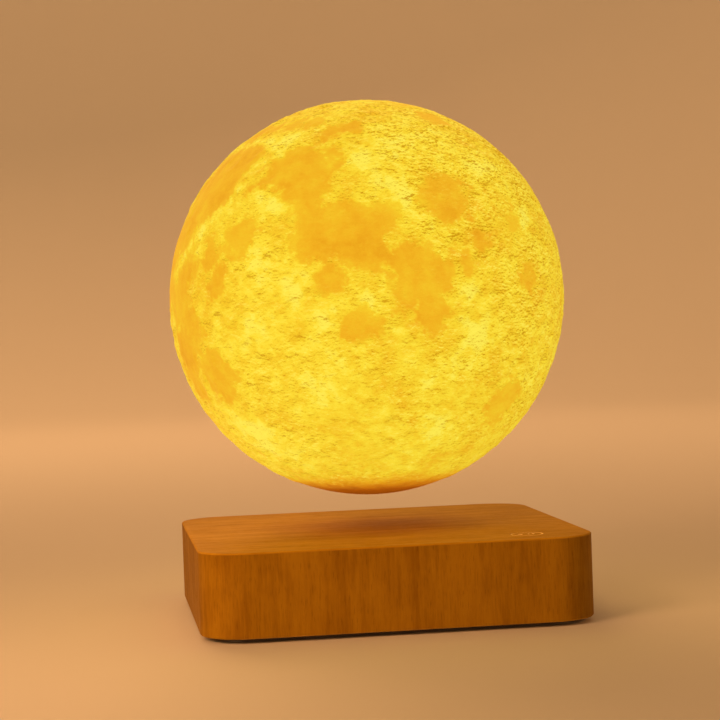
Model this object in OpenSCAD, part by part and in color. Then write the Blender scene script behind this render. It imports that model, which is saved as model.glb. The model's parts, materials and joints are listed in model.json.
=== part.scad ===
// Floating moon lamp. A printed moon hangs in the air over a wooden base that holds it up by
// magnets, powers it through a flat coil and lets it turn. Millimetres. The origin is the middle
// of the base's footprint on the table, +Z is up and the front faces -Y.

/* [Base] */
// Width and depth of the square wooden base
base_w = 142; // [141:1:160]
// Height of the wood, from its lower edge to its top face
wood_h = 30; // [30:0.5:36]
// Radius of the base's four upright corners
corner_r = 17; // [15:1:19]
// Height of the dark gap between the wood and the table
shade_gap = 1.8; // [1.8:0.1:2.6]
// Thickness of the wooden wall round the hollow
wall_t = 6; // [5.5:0.5:6.5]
// Thickness of the wooden top over the hollow, veneer included
top_t = 4; // [3.5:0.5:4]
// Thickness of the veneer on the top and round the sides
veneer_t = 0.6; // [0.5:0.1:0.8]
// Width of the small flat that eases the wood's upper and lower edges
ease = 0.4; // [0.2:0.1:0.4]

/* [Moon] */
// Diameter of the printed moon
moon_d = 150; // [145:1:165]
// Wall of the printed moon
shell_t = 2; // [1.8:0.1:2.4]
// Air between the base and the floating moon
float_gap = 12.5; // [8:0.5:20]
// Diameter of the cap that closes the moon from below
cap_d = 48; // [48:0.5:50]
// Depth of a crater below its rim
crater_depth = 0.45; // [0.3:0.05:0.6]

/* [Lift magnets] */
// Number of disc magnets in the base's ring
ring_count = 8; // [6:1:8]
// Diameter of each ring magnet
ring_magnet_d = 16; // [12:1:17]
// Diameter of the magnet in the moon
lift_magnet_d = 32; // [28:1:32]
// Height of the magnet in the moon
lift_magnet_h = 10; // [6:0.5:10]

/* [Steering coils] */
// Distance of each steering coil from the lamp's axis
coil_reach = 15.5; // [15.5:0.1:16]
// Outer diameter of a steering coil's bobbin
bobbin_d = 19.6; // [18:0.2:20]
// Height of a steering coil's bobbin
bobbin_h = 15.8; // [12:0.2:15.8]

/* [Hidden] */
$fn = 96;
EPS = 0.01;
PAST = 1; // how far a cutting shape runs past the face that it opens
SLIP = 0.1; // gap round a piece that drops into another

// levels above the table
wood_z = shade_gap;
top_z = wood_z + wood_h;
plate_z = 1;
plate_t = 2.8;
plate_top = plate_z + plate_t;
foot_h = 1.4;
foot_d = 14;
ceiling_z = top_z - top_t;
boss_h = 5.2;
board_t = 1.6;
board_z = plate_top + boss_h;
deck_z = board_z + board_t; // top of the main board
moon_z = top_z + float_gap + moon_d / 2;

// plan of the base
core_w = base_w - 2 * veneer_t;
core_r = corner_r - veneer_t;
hollow_w = core_w - 2 * wall_t;
hollow_r = core_r - wall_t;
plate_w = base_w - 6.4;
plate_r = corner_r - 3;
plate_slip = 0.2;
post_r = 5;
post_at = hollow_w / 2 - 5.9;
foot_at = 42;

// screws: pilot holes, clearance holes, heads and shanks
pilot_r = 1.2;
post_pilot_l = 12;
thread_r = 1.15;
pass_r = 1.7;
head_r = 2.8;
head_h = 1.8;
flat_head_h = 1.1;
counterbore_r = 3.3;
counterbore_h = flat_head_h + 0.2;
plate_screw_l = 9;
board_screw_l = 6;

// vent slots in the plate
vent_count = 5;
vent_l = 26;
vent_w = 2.2;
vent_pitch = 5.5;

// main board
board_w = 100;
board_r = 4;
board_hole_at = 45;
boss_r = 3.6;
chip_reach = 21.5;
chip_size = [7, 5, 1.4];
chip_pins = 5;
pin_pitch = 1.3;
pin_w = 0.6;
pin_l = 1;
pin_t = 0.4;
driver_size = [6, 6.5, 2.2];
driver_tab_l = 1.2;
driver_tab_t = 0.6;
driver_x = 46;
driver_y = 24;
driver_pitch = 9;
can_x = 36;
can_y = -43.5;
can_r = 4;
can_h = 10;
can_foot_w = 8.4;
can_foot_t = 1.2;

// ring of magnets and the power coil above it
carrier_r = 48.5;
carrier_bore_r = 28.2;
carrier_h = 12.2;
carrier_slot_w = 6;
carrier_slot_reach = 4;
ring_reach = 38;
ring_magnet_h = 10;
pocket_floor = 1.4;
ferrite_t = 0.8;
ferrite_z = deck_z + carrier_h;
power_coil_rim = 2; // from the carrier's edge to the middle of the outermost turn
turn_r = 1.2;
turn_pitch = 2.3;
turns = 8;

// steering coils
rod_r = 3.5;
rod_h = bobbin_h + 0.6;
rod_hole_r = 1.5;
rod_hole_l = 7;
rod_thread_r = 1.4;
flange_t = 1;
barrel_t = 0.9;
winding_slip = 0.05;
winding_inset = 1.2; // from a flange's edge in to the middle of the outer layer
wire_r = 0.6;
wire_pitch = 1.1;

// field sensors between the coils
sensor_z = 20;
sensor_board_r = 5.2;
sensor_board_t = 1;
sensor_stalk_r = 1.6;
sensor_size = [1.6, 4, 3];
sensor_reach = 2.8;

// power socket in the back wall
jack_z = 17;
jack_body_r = 4.9;
jack_l = 14.5;
jack_flange_r = 6.5;
jack_flange_t = 1.4;
jack_bore_r = 3.1;
jack_bore_l = 9.6;
jack_pin_r = 1.05;
jack_root_r = 1.4;
jack_pin_l = 8.6;
jack_tail = 3;
jack_nut_af = 13;
jack_nut_t = 2.5;
jack_back_y = base_w / 2 + jack_flange_t - jack_l;

// leads from the socket to the board
lead_r = 0.8;
bend_r = 2.5;
lead_x = 36;
lead_y = 52;
lead_end_y = 44;
lead_gap = 3; // between the two leads where they leave the socket

// touch key under the top's front right corner
touch_x = 47.5;
touch_y = -55;
touch_r = 6.2;
touch_recess = 1.6;
electrode_t = 0.4;
contact_r = 1.5;
mark_r = 6;
mark_line = 0.7;
mark_depth = 0.25;
mark_dot_x = -0.4 * mark_r;
mark_arcs = [0.45 * mark_r, 0.75 * mark_r];
mark_arc_share = 0.7; // length of an arc, as a share of its radius
touch_board_size = [12.5, 14, 1];
touch_board_x = touch_x - 7;
touch_board_y = touch_y - 6;
touch_lead_r = 0.5;
touch_lead_at = [2.5, 7.5];
touch_lead_y = touch_y + 6.2;

// moon
moon_r = moon_d / 2;
inner_r = moon_r - shell_t;
cap_r = cap_d / 2;
opening_slip = 0.2;
collar_slip = 0.4;
groove_slip = 0.4;
collar_w = 5;
skirt_t = 2;
skirt_in_r = cap_r - skirt_t;
skirt_sink = 1; // how far the skirt runs down into the cap's dome
lug_reach = 1.8;
lug_h = 2;
lug_span = 22;
notch_w = 11;
seat_slip = 0.35;
seat_t = 1;
seat_in_r = lift_magnet_d / 2 + seat_slip;
seat_sink = 0.5;
magnet_boss_r = 6;
magnet_boss_gap = 0.3;

// level of a flat disc of radius r that sits a gap clear of the moon's inside
function rest_level(r, gap) = -sqrt(pow(inner_r - gap, 2) - r * r);

magnet_z = rest_level(lift_magnet_d / 2, 0.35);
rx_coil_in_r = seat_in_r + seat_t + 0.2;
rx_coil_out_r = skirt_in_r - 0.6;
rx_coil_z = rest_level(rx_coil_out_r, 0.05);
rx_coil_h = 5.2;
rx_turn_r = 0.5;
rx_turns = 5;
rx_turn_first = 0.6;
lug_z = rest_level(cap_r, 0) + 2.75;
collar_top = lug_z + 5.2;
rx_post_z = rx_coil_z + rx_coil_h + 0.4;
rx_board_z = rx_post_z + 5.2;
rx_board_r = skirt_in_r - 0.3;
rx_deck_z = rx_board_z + board_t;
rx_screw_at = skirt_in_r - 1.9;
rx_post_r = 2.2;
rx_pilot_r = 0.8;
rx_pilot_floor = 0.8;
rx_pass_r = 1;
rx_screw = [0.75, 5, 1.6, 1.1]; // shank radius and length, head radius and height
inductor_size = [8, 6, 3];
inductor_y = -17.5;
rx_can_r = 3;
rx_can_h = 6.5;
rx_can_at = 15;
rx_can_turns = [45, 95];
rx_chip_size = [4, 5, 1.6];
rx_chip_x = -15.5;
skirt_top = rx_board_z + 2.1;
led_z = rx_deck_z + 37;
led_post_r = 5;
led_post_bore_r = 3.6;
led_flange_r = 9.5;
led_flange_t = 1.6;
led_rib_t = 1.6;
led_rib_h = 8;
led_rib_inset = 1;
led_rib_turns = [75, 165];
led_screw_at = 7.5;
led_screw_turn = 30;
led_pass_r = 0.9;
led_screw = [0.8, 3.2, 1.5, 1]; // shank radius and length, head radius and height
led_lead_x = 1.6;
led_board_r = 16;
led_count = 8;
led_reach = 12;
led_size = 5;
led_h = 1.6;
led_well_r = 1.9;
led_well_floor = 1;

// How the moon is turned when it is at rest: its own north pole leans back, and the eastern
// half of the face that it turns to the Earth looks to the front.
moon_turn = [5.5, -5.5, -133.4];
km = moon_r / 1737.4;
// the real moon's large craters: latitude, longitude east and diameter in kilometres
craters = [
    [-43.3, -11.4, 95], [-58.8, -14.1, 231], [-44.4, -54.6, 227], [-17.5, -39.9, 110],
    [-5.2, -68.6, 173], [9.6, -20.1, 96], [51.6, -9.4, 101], [29.7, -4, 90],
    [-9.3, -1.9, 154], [-18.2, -1.9, 96], [-5.1, 5.2, 138], [-11.7, 4.3, 114],
    [-33, 0.7, 128], [-41.1, 6, 126], [-41.8, 14, 114], [-44.9, 41.5, 190],
    [-11.4, 26.4, 100], [-18, 23.6, 104], [-21.5, 33.2, 124], [-29.7, 32.2, 88],
    [-8.9, 61.1, 127], [-16.4, 61.6, 147], [-25.4, 60.8, 182], [-36.3, 60.4, 135],
    [31.8, 29.9, 95], [46.7, 44.4, 87], [53.9, 57, 123], [27.7, 56, 131],
    [50.2, 17.4, 88], [35.7, 79, 177], [8.5, 84.6, 137], [-27, 80.9, 189],
    [65.4, 4.5, 156], [25.8, 93.1, 164], [42.9, 100.7, 184], [-11.9, 104.6, 224],
    [-31.4, 112.2, 262], [-20.4, 129.1, 185], [5.7, 140.9, 313], [45.3, 151.4, 219],
    [-20.2, 149.2, 265], [-35.2, -166.3, 208], [18.5, -149.3, 180], [-14.2, -151.9, 222],
    [58.7, -146.1, 345], [41.6, -118.1, 214], [32.6, -95.3, 300], [57.1, -98.8, 195]
];

// ---- shared shapes ----

// an upright block with a square plan and round corners, its lower and upper edges eased by
// flats of the given widths, standing on the plane z = 0
module eased_block(w, r, h, low = 0, high = 0) {
    half = w / 2;
    for (a = [0, 90]) rotate([90, 0, a]) linear_extrude(w - 2 * r, center = true)
        polygon([[low - half, 0], [half - low, 0], [half, low], [half, h - high],
                 [half - high, h], [high - half, h], [-half, h - high], [-half, low]]);
    at_corners(half - r) rotate_extrude()
        polygon([[0, 0], [r - low, 0], [r, low], [r, h - high], [r - high, h], [0, h]]);
}

// an upright block with a square plan and round corners, standing on the plane z = 0
module rounded_block(w, r, h) {
    linear_extrude(h) {
        square([w, w - 2 * r], center = true);
        square([w - 2 * r, w], center = true);
        at_corners(w / 2 - r) circle(r);
    }
}

module tube(r_out, r_in, h) {
    difference() {
        cylinder(r = r_out, h = h);
        translate([0, 0, -PAST]) cylinder(r = r_in, h = h + 2 * PAST);
    }
}

// children at the four corners of a square
module at_corners(d) {
    for (x = [-1, 1], y = [-1, 1]) translate([x * d, y * d]) children();
}

// children at place i of n on a circle
module on_circle(reach, n, i, first = 0) {
    rotate([0, 0, first + i * 360 / n]) translate([reach, 0, 0]) children();
}

// a round hole from the plane z = 0 upwards, opened well below it
module bore_up(r, depth) {
    translate([0, 0, -PAST]) cylinder(r = r, h = depth + PAST);
}

// a cross-head screw with its shank down and its head standing on the plane z = 0
module cross_screw(shank_r, shank_l, head_r, head_h) {
    slot_w = 0.35 * head_r;
    slot_l = 1.2 * head_r;
    difference() {
        union() {
            translate([0, 0, -shank_l]) cylinder(r = shank_r, h = shank_l + EPS);
            cylinder(r = head_r, h = head_h);
        }
        for (a = [0, 90]) rotate([0, 0, a]) translate([-slot_l / 2, -slot_w / 2, head_h / 2])
            cube([slot_l, slot_w, head_h]);
    }
}

// a straight stretch of lead along +Z, with what follows it at its end
module run(l) {
    cylinder(r = lead_r, h = l, $fn = 24);
    translate([0, 0, l]) children();
}

// a quarter bend of lead from +Z towards the side at the given angle, with what follows it
module turn(side) {
    rotate([0, 0, side]) {
        translate([bend_r, 0, 0]) rotate([90, 0, 180]) rotate_extrude(angle = 90)
            translate([bend_r, 0]) circle(lead_r, $fn = 24);
        translate([bend_r, 0, bend_r]) rotate([0, 90, 0]) children();
    }
}

// ---- base: wood ----

module jack_hole() {
    translate([0, base_w / 2 + PAST, jack_z]) rotate([90, 0, 0])
        cylinder(r = jack_body_r + SLIP, h = wall_t + veneer_t + 2 * PAST);
}

// the milled block: a hollow from below, a rabbet for the plate and a post in each corner
module base_core() {
    color("burlywood") difference() {
        union() {
            difference() {
                translate([0, 0, wood_z]) rounded_block(core_w, core_r, wood_h - veneer_t);
                translate([0, 0, wood_z - PAST])
                    rounded_block(hollow_w, hollow_r, ceiling_z - wood_z + PAST);
            }
            at_corners(post_at) translate([0, 0, plate_top])
                cylinder(r = post_r, h = ceiling_z - plate_top + EPS);
        }
        translate([0, 0, wood_z - PAST])
            rounded_block(plate_w + 2 * plate_slip, plate_r + plate_slip, plate_top - wood_z + PAST);
        at_corners(post_at) translate([0, 0, plate_top]) bore_up(pilot_r, post_pilot_l);
        jack_hole();
        translate([touch_x, touch_y, ceiling_z]) bore_up(touch_r + SLIP, touch_recess);
    }
}

// veneer wrapped round the four sides, its grain upright
module side_veneer() {
    color("peru") difference() {
        translate([0, 0, wood_z]) eased_block(base_w, corner_r, wood_h - veneer_t, low = ease);
        translate([0, 0, wood_z - PAST]) rounded_block(core_w, core_r, wood_h + PAST);
        jack_hole();
    }
}

// the touch mark: a ring round a dot and two short arcs
module touch_mark() {
    translate([touch_x, touch_y, 0]) {
        tube(mark_r, mark_r - mark_line, PAST);
        translate([mark_dot_x, 0, 0]) cylinder(r = 1.5 * mark_line, h = PAST);
        for (r = mark_arcs) translate([mark_dot_x, 0, 0]) intersection() {
            tube(r + mark_line, r, PAST);
            translate([0, -mark_arc_share * r / 2, -PAST]) cube([mark_r, mark_arc_share * r, 3 * PAST]);
        }
    }
}

// veneer over the whole top, its grain along X, with the touch mark engraved
module top_veneer() {
    color("sandybrown") difference() {
        translate([0, 0, top_z - veneer_t]) eased_block(base_w, corner_r, veneer_t, high = ease);
        translate([0, 0, top_z - mark_depth]) touch_mark();
    }
}

// ---- base: plate, feet and their screws ----

module vent_slot() {
    linear_extrude(plate_t + 2 * PAST) {
        square([vent_l - vent_w, vent_w], center = true);
        for (x = [-1, 1]) translate([x * (vent_l - vent_w) / 2, 0]) circle(vent_w / 2);
    }
}

module bottom_plate() {
    color("dimgray") difference() {
        union() {
            translate([0, 0, plate_z]) rounded_block(plate_w, plate_r, plate_t);
            at_corners(board_hole_at) translate([0, 0, plate_top - EPS])
                cylinder(r = boss_r, h = boss_h + EPS);
        }
        at_corners(post_at) translate([0, 0, plate_z]) {
            bore_up(pass_r, plate_t + PAST);
            bore_up(counterbore_r, counterbore_h);
        }
        at_corners(foot_at) translate([0, 0, plate_z]) bore_up(foot_d / 2 + SLIP, foot_h - plate_z);
        at_corners(board_hole_at) translate([0, 0, plate_top]) bore_up(pilot_r, boss_h + PAST);
        for (i = [0:vent_count - 1])
            translate([0, (i - (vent_count - 1) / 2) * vent_pitch, plate_z - PAST]) vent_slot();
    }
}

// feet are numbered from the front left, along X first
module foot(i) {
    x = i % 2 == 1 ? -1 : 1;
    y = i <= 2 ? -1 : 1;
    color("black") translate([x * foot_at, y * foot_at, 0]) cylinder(r = foot_d / 2, h = foot_h);
}

module plate_screws() {
    color("silver") at_corners(post_at) translate([0, 0, plate_z + counterbore_h])
        mirror([0, 0, 1]) cross_screw(thread_r, plate_screw_l, head_r, flat_head_h);
}

// ---- base: levitation module ----

module main_board() {
    color("darkgreen") difference() {
        translate([0, 0, board_z]) rounded_block(board_w, board_r, board_t);
        at_corners(board_hole_at) translate([0, 0, board_z]) bore_up(pass_r, board_t + PAST);
        for (i = [0:3]) on_circle(coil_reach, 4, i) translate([0, 0, board_z])
            bore_up(rod_hole_r, board_t + PAST);
    }
}

module board_screws() {
    color("silver") at_corners(board_hole_at) translate([0, 0, deck_z])
        cross_screw(thread_r, board_screw_l, head_r, head_h);
}

// moulded ring with a blind pocket for each disc magnet and lightening slots between them
module magnet_carrier() {
    color("darkslategray") translate([0, 0, deck_z]) difference() {
        tube(carrier_r, carrier_bore_r, carrier_h);
        for (i = [0:ring_count - 1]) {
            on_circle(ring_reach, ring_count, i) translate([0, 0, pocket_floor])
                cylinder(r = ring_magnet_d / 2 + SLIP, h = carrier_h);
            on_circle(carrier_r - carrier_slot_reach, ring_count, i + 0.5)
                translate([0, -carrier_slot_w / 2, pocket_floor])
                    cube([2 * carrier_slot_reach, carrier_slot_w, carrier_h]);
        }
    }
}

module ring_magnet(i) {
    color("silver") on_circle(ring_reach, ring_count, i - 1)
        translate([0, 0, deck_z + pocket_floor]) cylinder(r = ring_magnet_d / 2, h = ring_magnet_h);
}

module power_coil_ferrite() {
    color("dimgray") translate([0, 0, ferrite_z]) tube(carrier_r - 0.5, carrier_bore_r + 0.3, ferrite_t);
}

// flat coil that sends power to the moon, its turns side by side on a thin bond
module power_coil() {
    first = carrier_r - power_coil_rim - (turns - 1) * turn_pitch;
    color("chocolate") translate([0, 0, ferrite_z + ferrite_t + turn_r]) rotate_extrude() {
        for (i = [0:turns - 1]) translate([first + i * turn_pitch, 0]) circle(turn_r, $fn = 24);
        translate([first, -turn_r / 2]) square([(turns - 1) * turn_pitch, turn_r]);
    }
}

module coil_bobbin(i) {
    barrel_r = rod_r + SLIP + barrel_t;
    color("ivory") on_circle(coil_reach, 4, i - 1) translate([0, 0, deck_z]) difference() {
        union() {
            cylinder(r = bobbin_d / 2, h = flange_t);
            cylinder(r = barrel_r, h = bobbin_h);
            translate([0, 0, bobbin_h - flange_t]) cylinder(r = bobbin_d / 2, h = flange_t);
        }
        bore_up(rod_r + SLIP, bobbin_h + PAST);
    }
}

// copper wound on the bobbin, with the outer layer's turns standing out
module coil_winding(i) {
    r_in = rod_r + SLIP + barrel_t + winding_slip;
    r_out = bobbin_d / 2 - winding_inset;
    h = bobbin_h - 2 * flange_t - SLIP;
    rows = floor((h - 2 * wire_r) / wire_pitch);
    color("chocolate") on_circle(coil_reach, 4, i - 1) translate([0, 0, deck_z + flange_t])
        rotate_extrude() {
            translate([r_in, 0]) square([r_out - r_in, h]);
            for (k = [0:rows]) translate([r_out, (h - rows * wire_pitch) / 2 + k * wire_pitch])
                circle(wire_r, $fn = 24);
        }
}

module coil_core(i) {
    color("gray") on_circle(coil_reach, 4, i - 1) translate([0, 0, deck_z]) difference() {
        cylinder(r = rod_r, h = rod_h);
        bore_up(rod_hole_r, rod_hole_l);
    }
}

module core_screws() {
    color("silver") for (i = [0:3]) on_circle(coil_reach, 4, i) translate([0, 0, board_z])
        mirror([0, 0, 1]) cross_screw(rod_thread_r, rod_hole_l, head_r, head_h);
}

// small board on a stalk between the four coils, under the sensors that feel the moon's magnet
module sensor_board() {
    color("darkgreen") {
        translate([0, 0, deck_z]) cylinder(r = sensor_stalk_r, h = sensor_z - deck_z + EPS);
        translate([0, 0, sensor_z]) cylinder(r = sensor_board_r, h = sensor_board_t);
    }
}

module field_sensors() {
    color("black") for (i = [0:2]) on_circle(sensor_reach, 3, i, 45)
        translate([-sensor_size.x / 2, -sensor_size.y / 2, sensor_z + sensor_board_t])
            cube(sensor_size);
}

// chip between two of the coils: a body on two rows of pins
module controller_chip() {
    color("black") on_circle(chip_reach, 4, 0, 45)
        translate([-chip_size.x / 2, -chip_size.y / 2, deck_z]) {
            translate([0, 0, pin_t / 2]) cube(chip_size);
            for (i = [0:chip_pins - 1]) translate([pin_w + i * pin_pitch, -pin_l, 0])
                cube([pin_w, chip_size.y + 2 * pin_l, pin_t]);
        }
}

// two power transistors on each side of the board, each with its tab
module driver_chips() {
    for (i = [0:1], side = [-1, 1]) color("black")
        translate([side * driver_x - driver_size.x / 2, driver_y + i * driver_pitch, deck_z]) {
            cube(driver_size);
            translate([1, driver_size.y - EPS, 0])
                cube([driver_size.x - 2, driver_tab_l, driver_tab_t]);
        }
}

// two upright cans, each on its square foot
module board_capacitors() {
    color("navy") for (side = [-1, 1]) translate([side * can_x, can_y, deck_z]) {
        cylinder(r = can_r, h = can_h);
        translate([-can_foot_w / 2, -can_foot_w / 2, 0]) cube([can_foot_w, can_foot_w, can_foot_t]);
    }
}

// ---- base: power socket ----

// children along the socket's axis: +Z points out of the back and z = 0 is the wood's face
module at_jack() {
    translate([0, base_w / 2, jack_z]) rotate([-90, 0, 0]) children();
}

module jack_body() {
    color("black") at_jack() difference() {
        union() {
            cylinder(r = jack_flange_r, h = jack_flange_t);
            translate([0, 0, jack_flange_t - jack_l]) cylinder(r = jack_body_r, h = jack_l);
        }
        translate([0, 0, jack_flange_t - jack_bore_l]) cylinder(r = jack_bore_r, h = jack_l);
        translate([0, 0, jack_flange_t - jack_l - PAST]) cylinder(r = jack_root_r, h = jack_l);
    }
}

module jack_nut() {
    color("silver") at_jack() translate([0, 0, -wall_t - veneer_t - jack_nut_t]) difference() {
        cylinder(r = jack_nut_af / 2 / cos(30), h = jack_nut_t, $fn = 6);
        bore_up(jack_body_r + SLIP / 2, jack_nut_t + PAST);
    }
}

// centre contact: the pin in the socket, on a stouter root that ends in a tail inside the base
module jack_pin() {
    root_l = jack_l - jack_bore_l + jack_tail;
    color("gold") at_jack() translate([0, 0, jack_flange_t - jack_l - jack_tail]) {
        cylinder(r = jack_root_r, h = root_l);
        cylinder(r = jack_pin_r, h = root_l + jack_pin_l);
    }
}

// a lead from the socket along the back wall, round the magnet ring and down to the board
module socket_lead(x, y, side) {
    translate([side * x, y, jack_z]) mirror([side < 0 ? 1 : 0, 0, 0]) rotate([90, 0, 0])
        run(y - lead_y - bend_r) turn(0) run(lead_x - x - 2 * bend_r) turn(180)
            run(lead_y - lead_end_y - 2 * bend_r) turn(90) run(jack_z - bend_r - deck_z);
}

// the socket's two leads, and two straight ones from the board up to the touch key
module base_leads() {
    color("firebrick") {
        socket_lead(0, jack_back_y - jack_tail, 1);
        socket_lead(lead_gap, jack_back_y, -1);
        for (x = touch_lead_at) translate([touch_board_x + x, touch_lead_y, deck_z])
            cylinder(r = touch_lead_r, h = ceiling_z - touch_board_size.z - deck_z);
    }
}

// ---- base: touch key ----

// foil disc under the top, with the contact that joins it to its board
module touch_electrode() {
    color("chocolate") translate([touch_x, touch_y, ceiling_z]) {
        translate([0, 0, touch_recess - electrode_t]) cylinder(r = touch_r, h = electrode_t);
        cylinder(r = contact_r, h = touch_recess - electrode_t + EPS);
    }
}

module touch_board() {
    color("darkblue") translate([touch_board_x, touch_board_y, ceiling_z - touch_board_size.z])
        cube(touch_board_size);
}

// ---- moon ----

module on_moon() {
    translate([0, 0, moon_z]) children();
}

// a sphere that cuts a round bowl: its rim has radius a and its floor is crater_depth lower
module crater_cutter(a) {
    sag = moon_r - sqrt(moon_r * moon_r - a * a);
    depth = crater_depth + sag;
    reach = (2 * moon_r - depth) * depth / (2 * crater_depth);
    translate([reach, 0, 0]) sphere(reach - moon_r + depth);
}

// printed globe with its large craters and a round opening below
module moon_shell() {
    color("khaki") on_moon() difference() {
        sphere(moon_r);
        sphere(inner_r);
        translate([0, 0, -moon_r - PAST]) cylinder(r = cap_r + opening_slip, h = moon_r / 2);
        rotate(moon_turn) for (c = craters) rotate([0, -c[0], c[1]]) crater_cutter(c[2] * km / 2);
    }
}

// children at place i of three, turned from the lugs by the given angle
module in_threes(turn = 0) {
    for (i = [0:2]) rotate([0, 0, turn + i * 120]) children();
}

// ring glued inside the opening, with a groove for the cap's lugs and an entry notch for each
module shell_collar() {
    groove_r = cap_r + lug_reach + collar_slip;
    color("whitesmoke") on_moon() difference() {
        intersection() {
            sphere(inner_r);
            translate([0, 0, -moon_r]) cylinder(r = cap_r + collar_w, h = moon_r + collar_top);
        }
        translate([0, 0, -moon_r]) cylinder(r = cap_r + collar_slip, h = moon_r);
        translate([0, 0, lug_z]) cylinder(r = groove_r, h = lug_h + groove_slip);
        in_threes(60) translate([cap_r - 1, -notch_w / 2, -moon_r])
            cube([groove_r - cap_r + 1, notch_w, moon_r + lug_z + PAST]);
    }
}

// one lug: a short arc of a flange round the cap's skirt
module cap_lug() {
    w = 2 * cap_r * tan(lug_span / 2);
    translate([0, 0, lug_z]) intersection() {
        tube(cap_r + lug_reach, cap_r - 1, lug_h);
        translate([cap_r - 2, -w / 2, -PAST]) cube([2 * lug_reach + 2, w, lug_h + 2 * PAST]);
    }
}

// domed cap that carries the moon's magnet, coil and board, and locks into the collar
module bottom_cap() {
    skirt_z = rest_level(cap_r, 0) - skirt_sink;
    seat_z = rest_level(seat_in_r, 0) - seat_sink;
    boss_z = -inner_r - seat_sink;
    color("whitesmoke") on_moon() difference() {
        union() {
            intersection() {
                difference() {
                    sphere(moon_r);
                    sphere(inner_r);
                }
                translate([0, 0, -moon_r - PAST]) cylinder(r = cap_r, h = moon_r / 2);
            }
            translate([0, 0, skirt_z]) tube(cap_r, skirt_in_r, skirt_top - skirt_z);
            translate([0, 0, seat_z]) tube(seat_in_r + seat_t, seat_in_r, lift_magnet_h + 1);
            translate([0, 0, boss_z])
                cylinder(r = magnet_boss_r, h = magnet_z - magnet_boss_gap - boss_z);
            in_threes() translate([rx_screw_at, 0, rx_post_z])
                cylinder(r = rx_post_r, h = rx_board_z - rx_post_z);
            in_threes() cap_lug();
        }
        in_threes() translate([rx_screw_at, 0, rx_post_z + rx_pilot_floor])
            cylinder(r = rx_pilot_r, h = rx_board_z - rx_post_z);
    }
}

module lift_magnet() {
    color("silver") on_moon() translate([0, 0, magnet_z])
        cylinder(r = lift_magnet_d / 2, h = lift_magnet_h);
}

// copper ring round the magnet that takes power from the base, its outer turns standing out
module receiver_coil() {
    wall = rx_coil_out_r - rx_turn_r - rx_coil_in_r;
    color("chocolate") on_moon() translate([0, 0, rx_coil_z]) rotate_extrude() {
        translate([rx_coil_in_r, 0]) square([wall, rx_coil_h]);
        for (k = [0:rx_turns - 1]) translate([rx_coil_out_r - rx_turn_r, rx_turn_first + k])
            circle(rx_turn_r, $fn = 24);
    }
}

module receiver_board() {
    color("darkgreen") on_moon() translate([0, 0, rx_board_z]) difference() {
        cylinder(r = rx_board_r, h = board_t);
        in_threes() translate([rx_screw_at, 0, 0]) bore_up(rx_pass_r, board_t + PAST);
        post_screw_places() bore_up(led_pass_r, board_t + PAST);
    }
}

// the light post's two screws on either flange
module post_screw_places() {
    for (i = [0:1]) on_circle(led_screw_at, 2, i, led_screw_turn) children();
}

// the receiving board's inductor, two capacitors and chip
module receiver_parts() {
    color("black") on_moon() translate([0, 0, rx_deck_z]) {
        translate([-inductor_size.x / 2, inductor_y, 0]) cube(inductor_size);
        for (a = rx_can_turns) rotate([0, 0, a]) translate([rx_can_at, 0, 0])
            cylinder(r = rx_can_r, h = rx_can_h);
        translate([rx_chip_x, -rx_chip_size.y / 2, 0]) cube(rx_chip_size);
    }
}

module receiver_screws() {
    color("silver") on_moon() in_threes() translate([rx_screw_at, 0, rx_deck_z])
        cross_screw(rx_screw[0], rx_screw[1], rx_screw[2], rx_screw[3]);
}

// hollow ribbed stalk that holds the light board near the middle of the moon
module led_post() {
    post_h = led_z - rx_deck_z;
    rib_r = led_flange_r - led_rib_inset;
    color("silver") on_moon() translate([0, 0, rx_deck_z]) difference() {
        union() {
            cylinder(r = led_flange_r, h = led_flange_t);
            cylinder(r = led_post_r, h = post_h);
            translate([0, 0, post_h - led_flange_t]) cylinder(r = led_flange_r, h = led_flange_t);
            for (a = led_rib_turns) rotate([0, 0, a]) translate([-rib_r, -led_rib_t / 2, 0])
                cube([2 * rib_r, led_rib_t, led_rib_h]);
        }
        bore_up(led_post_bore_r, post_h + PAST);
        for (z = [0, post_h - led_flange_t]) translate([0, 0, z]) post_screw_places()
            bore_up(led_pass_r, led_flange_t + PAST);
    }
}

module led_board() {
    color("whitesmoke") on_moon() translate([0, 0, led_z]) difference() {
        cylinder(r = led_board_r, h = board_t);
        post_screw_places() bore_up(led_pass_r, board_t + PAST);
    }
}

// square light chips, each with a round well
module leds() {
    color("gold") on_moon() for (i = [0:led_count - 1]) on_circle(led_reach, led_count, i)
        translate([-led_size / 2, -led_size / 2, led_z + board_t]) difference() {
            cube([led_size, led_size, led_h]);
            translate([led_size / 2, led_size / 2, led_well_floor])
                cylinder(r = led_well_r, h = PAST);
        }
}

// two leads up the inside of the post
module led_leads() {
    color("firebrick") on_moon() for (x = [-led_lead_x, led_lead_x]) translate([x, 0, rx_deck_z])
        cylinder(r = lead_r, h = led_z - rx_deck_z);
}

module led_screws() {
    color("silver") on_moon() post_screw_places() {
        for (z = [led_z + board_t, rx_deck_z + led_flange_t]) translate([0, 0, z])
            cross_screw(led_screw[0], led_screw[1], led_screw[2], led_screw[3]);
    }
}

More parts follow.
